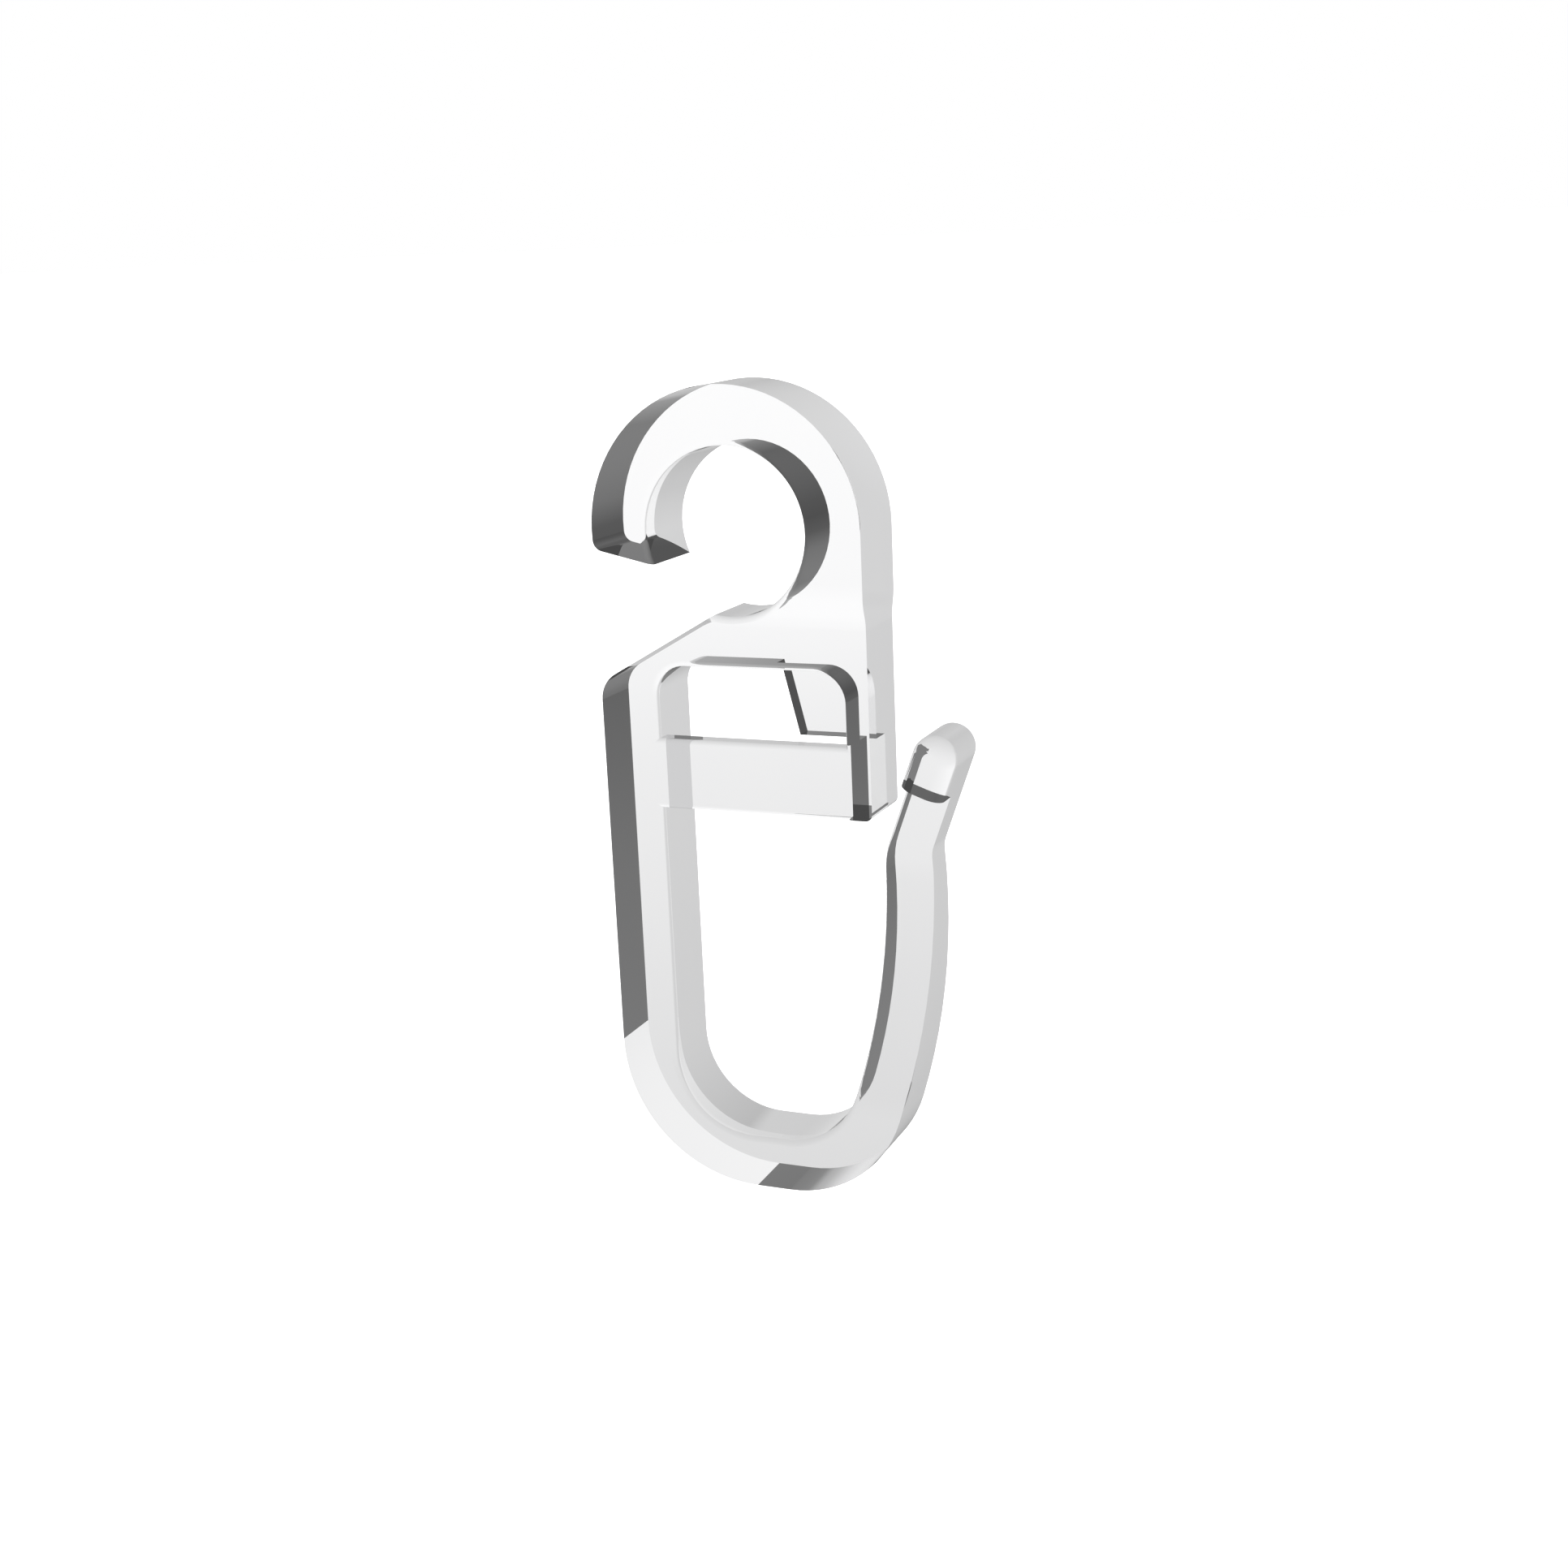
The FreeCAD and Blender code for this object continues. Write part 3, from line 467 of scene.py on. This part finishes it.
def skin_tree(name):
    """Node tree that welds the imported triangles, keeps corners crisp and coats each wall."""
    tree = bpy.data.node_groups.new(name, "GeometryNodeTree")
    add_sockets(tree, "INPUT", SKIN_INPUTS)
    add_sockets(tree, "OUTPUT", {"Geometry": "Geometry"})
    given = add_node(tree, "NodeGroupInput").outputs
    weld = add_node(tree, "GeometryNodeMergeByDistance", Geometry=given["Geometry"],
                    Distance=given["Weld Distance"])
    turn = add_node(tree, "GeometryNodeInputMeshEdgeAngle").outputs["Unsigned Angle"]
    smooth = add_node(tree, "GeometryNodeSetShadeSmooth", domain="EDGE", Geometry=weld.outputs[0],
                      Shade_Smooth=compare(tree, "LESS_THAN", turn, given["Crease Angle"]))

    place = add_node(tree, "GeometryNodeInputPosition").outputs[0]
    normal = add_node(tree, "GeometryNodeInputNormal").outputs[0]
    upright = compare(tree, "EQUAL", split(tree, normal)["Y"], 0.0, Epsilon=UPRIGHT)
    skin = add_node(tree, "GeometryNodeRealizeInstances", Geometry=smooth.outputs[0]).outputs[0]
    for plastic, facets in (("Plastic", True),
                            ("Arc Plastic", arc_facets(tree, given, place, upright)),
                            ("Flank Plastic", flank_facets(tree, given, place, upright)),
                            ("Head Plastic", head_facets(tree, given, place, normal))):
        skin = add_node(tree, "GeometryNodeSetMaterial", Geometry=skin, Selection=facets,
                        Material=given[plastic]).outputs[0]
    add_node(tree, "NodeGroupOutput", Geometry=skin)
    return tree


def set_inputs(modifier, values):
    """Sets a node tree's named inputs on its modifier, by their identifiers."""
    identifiers = {item.name: item.identifier for item in modifier.node_group.interface.items_tree
                   if item.item_type == "SOCKET" and item.in_out == "INPUT"}
    for name, value in values.items():
        modifier[identifiers[name]] = value


def keep_normals(mesh):
    """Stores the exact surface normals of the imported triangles, so that welding keeps them."""
    kept = mesh.attributes.new(KEPT_NORMAL, "FLOAT_VECTOR", "CORNER")
    for corner, normal in zip(kept.data, [normal.vector.copy() for normal in mesh.corner_normals]):
        corner.vector = normal
    if "custom_normal" in mesh.attributes:
        mesh.attributes.remove(mesh.attributes["custom_normal"])


def restore_normals(mesh):
    """Gives the welded mesh its exact surface normals back."""
    normals = [corner.vector[:] for corner in mesh.attributes[KEPT_NORMAL].data]
    mesh.normals_split_custom_set(normals)
    mesh.attributes.remove(mesh.attributes[KEPT_NORMAL])


def plain_mesh(piece, name):
    """Turns the evaluated piece into a plain mesh and removes its modifiers."""
    graph = bpy.context.evaluated_depsgraph_get()
    graph.update()
    mesh = bpy.data.meshes.new_from_object(piece.evaluated_get(graph), depsgraph=graph)
    mesh.name = name
    piece.modifiers.clear()
    piece.data = mesh


class HOOK_OT_moulding(bpy.types.Operator):
    """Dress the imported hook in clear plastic"""

    bl_idname = "hook.moulding"
    bl_label = "Moulded hook"

    def execute(self, context):
        shape = context.scene.hook_shape
        finish = context.scene.hook_plastic
        plastics = {
            "Plastic": clear_plastic("clear_plastic_moulding", finish, finish.ior),
            # The arc's copy of the plastic bends light less and gives off a painted glow that
            # brightens it.
            "Arc Plastic": clear_plastic("clear_plastic_arc", finish, finish.arc_ior,
                                         finish.arc_painted_glow),
            "Flank Plastic": clear_plastic("clear_plastic_flank", finish, finish.flank_ior),
            "Head Plastic": clear_plastic("clear_plastic_head", finish, finish.head_ior),
        }
        piece = bpy.data.objects.new(PIECE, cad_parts[NODE].data.copy())
        piece.data.materials.clear()
        keep_normals(piece.data)
        context.scene.collection.objects.link(piece)
        modifier = piece.modifiers.new("Skin", "NODES")
        modifier.node_group = skin_tree("Moulded skin")
        lean = shape.head_lean
        set_inputs(modifier, {
            "Weld Distance": shape.weld, "Crease Angle": shape.crease,
            "Wall Margin": shape.wall_margin, "Arc Centre": shape.arc_centre,
            "Arc Radius": shape.arc_radius, "Flank Distance": shape.flank_distance,
            "Flank End": shape.flank_end, "Head Centre": shape.head_centre,
            "Head Upwards": (math.sin(lean), 0.0, math.cos(lean)),
            "Head Leftwards": (-math.cos(lean), 0.0, math.sin(lean)),
            "Head Length": shape.head_length, "Head Band": shape.head_band,
            "Least Turn": shape.head_turn[0], "Greatest Turn": shape.head_turn[1], **plastics})
        plain_mesh(piece, PIECE)
        restore_normals(piece.data)
        used = {piece.data.materials[facet.material_index].name for facet in piece.data.polygons}
        for plastic in plastics.values():
            if plastic.name not in used:
                raise RuntimeError("no facet of the packed hook takes " + plastic.name)
        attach(piece, "root")
        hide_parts(NODE)
        return {"FINISHED"}


def pale_floor(size):
    """A plain white floor under the hook, which the plastic neither shows nor mirrors."""
    low, half = CAD_BOX[0].z, size / 2
    corners = [(-half, -half, low), (half, -half, low), (half, half, low), (-half, half, low)]
    mesh = bpy.data.meshes.new("floor")
    mesh.from_pydata(corners, [], [(0, 1, 2, 3)])
    material = bpy.data.materials.new("floor")
    material.use_nodes = True
    shader = material.node_tree.nodes["Principled BSDF"]
    for key, value in (("Base Color", WHITE), ("Roughness", 1.0), ("Emission Color", WHITE),
                       ("Emission Strength", 1.0)):
        shader.inputs[key].default_value = value
    mesh.materials.append(material)
    floor = bpy.data.objects.new("floor", mesh)
    floor.visible_transmission = False
    floor.visible_glossy = False
    return floor


def photo_camera(settings):
    """The camera at the photograph's place and angle."""
    data = bpy.data.cameras.new("photo_camera")
    data.lens = settings.camera_lens
    data.sensor_width = SENSOR_WIDTH
    data.clip_start, data.clip_end = NEAREST, FARTHEST
    azimuth, elevation, roll = (settings.camera_azimuth, settings.camera_elevation,
                                settings.camera_roll)
    ahead = Vector((-math.sin(azimuth) * math.cos(elevation),
                    math.cos(azimuth) * math.cos(elevation), -math.sin(elevation)))
    level = Vector((math.cos(azimuth), math.sin(azimuth), 0.0))
    upright = level.cross(ahead)
    right = level * math.cos(roll) + upright * math.sin(roll)
    up = upright * math.cos(roll) - level * math.sin(roll)
    camera = bpy.data.objects.new("photo_camera", data)
    camera.matrix_world = Matrix.Translation(settings.camera_place) @ Matrix(
        (right, up, -ahead)).transposed().to_4x4()
    return camera


class HOOK_OT_stage(bpy.types.Operator):
    """Set the pale floor, the soft studio light and the camera"""

    bl_idname = "hook.stage"
    bl_label = "Studio stage"

    def execute(self, context):
        settings = context.scene.hook_stage
        scene = context.scene
        scene.view_settings.view_transform = "Standard"
        cycles = scene.cycles
        cycles.max_bounces = cycles.glossy_bounces = settings.bounces
        cycles.transmission_bounces = cycles.transparent_max_bounces = settings.bounces
        floor = pale_floor(settings.floor_size)
        scene.collection.objects.link(floor)
        scene.world = studio_world(settings)
        camera = photo_camera(settings)
        scene.collection.objects.link(camera)
        scene.camera = camera
        return {"FINISHED"}


class HOOK_PT_panel(bpy.types.Panel):
    """Shows the settings of the curtain hook and its stage, with the buttons that build them"""

    bl_label = "Curtain hook"
    bl_space_type = "VIEW_3D"
    bl_region_type = "UI"
    bl_category = "Curtain hook"

    def draw(self, context):
        scene = context.scene
        column = self.layout.column()
        for settings in (scene.hook_shape, scene.hook_plastic, scene.hook_stage):
            for key in settings.bl_rna.properties.keys():
                if key not in ("rna_type", "name"):
                    column.prop(settings, key)
        column.operator(HOOK_OT_moulding.bl_idname)
        column.operator(HOOK_OT_stage.bl_idname)


CLASSES = (
    HookShapeSettings,
    HookPlasticSettings,
    HookStageSettings,
    HOOK_OT_moulding,
    HOOK_OT_stage,
    HOOK_PT_panel,
)


def register():
    for cls in CLASSES:
        bpy.utils.register_class(cls)
    bpy.types.Scene.hook_shape = PointerProperty(type=HookShapeSettings)
    bpy.types.Scene.hook_plastic = PointerProperty(type=HookPlasticSettings)
    bpy.types.Scene.hook_stage = PointerProperty(type=HookStageSettings)


def unregister():
    del bpy.types.Scene.hook_stage
    del bpy.types.Scene.hook_plastic
    del bpy.types.Scene.hook_shape
    for cls in reversed(CLASSES):
        bpy.utils.unregister_class(cls)


def main():
    register()
    bpy.ops.hook.moulding()
    bpy.ops.hook.stage()


if __name__ == "__main__":
    main()
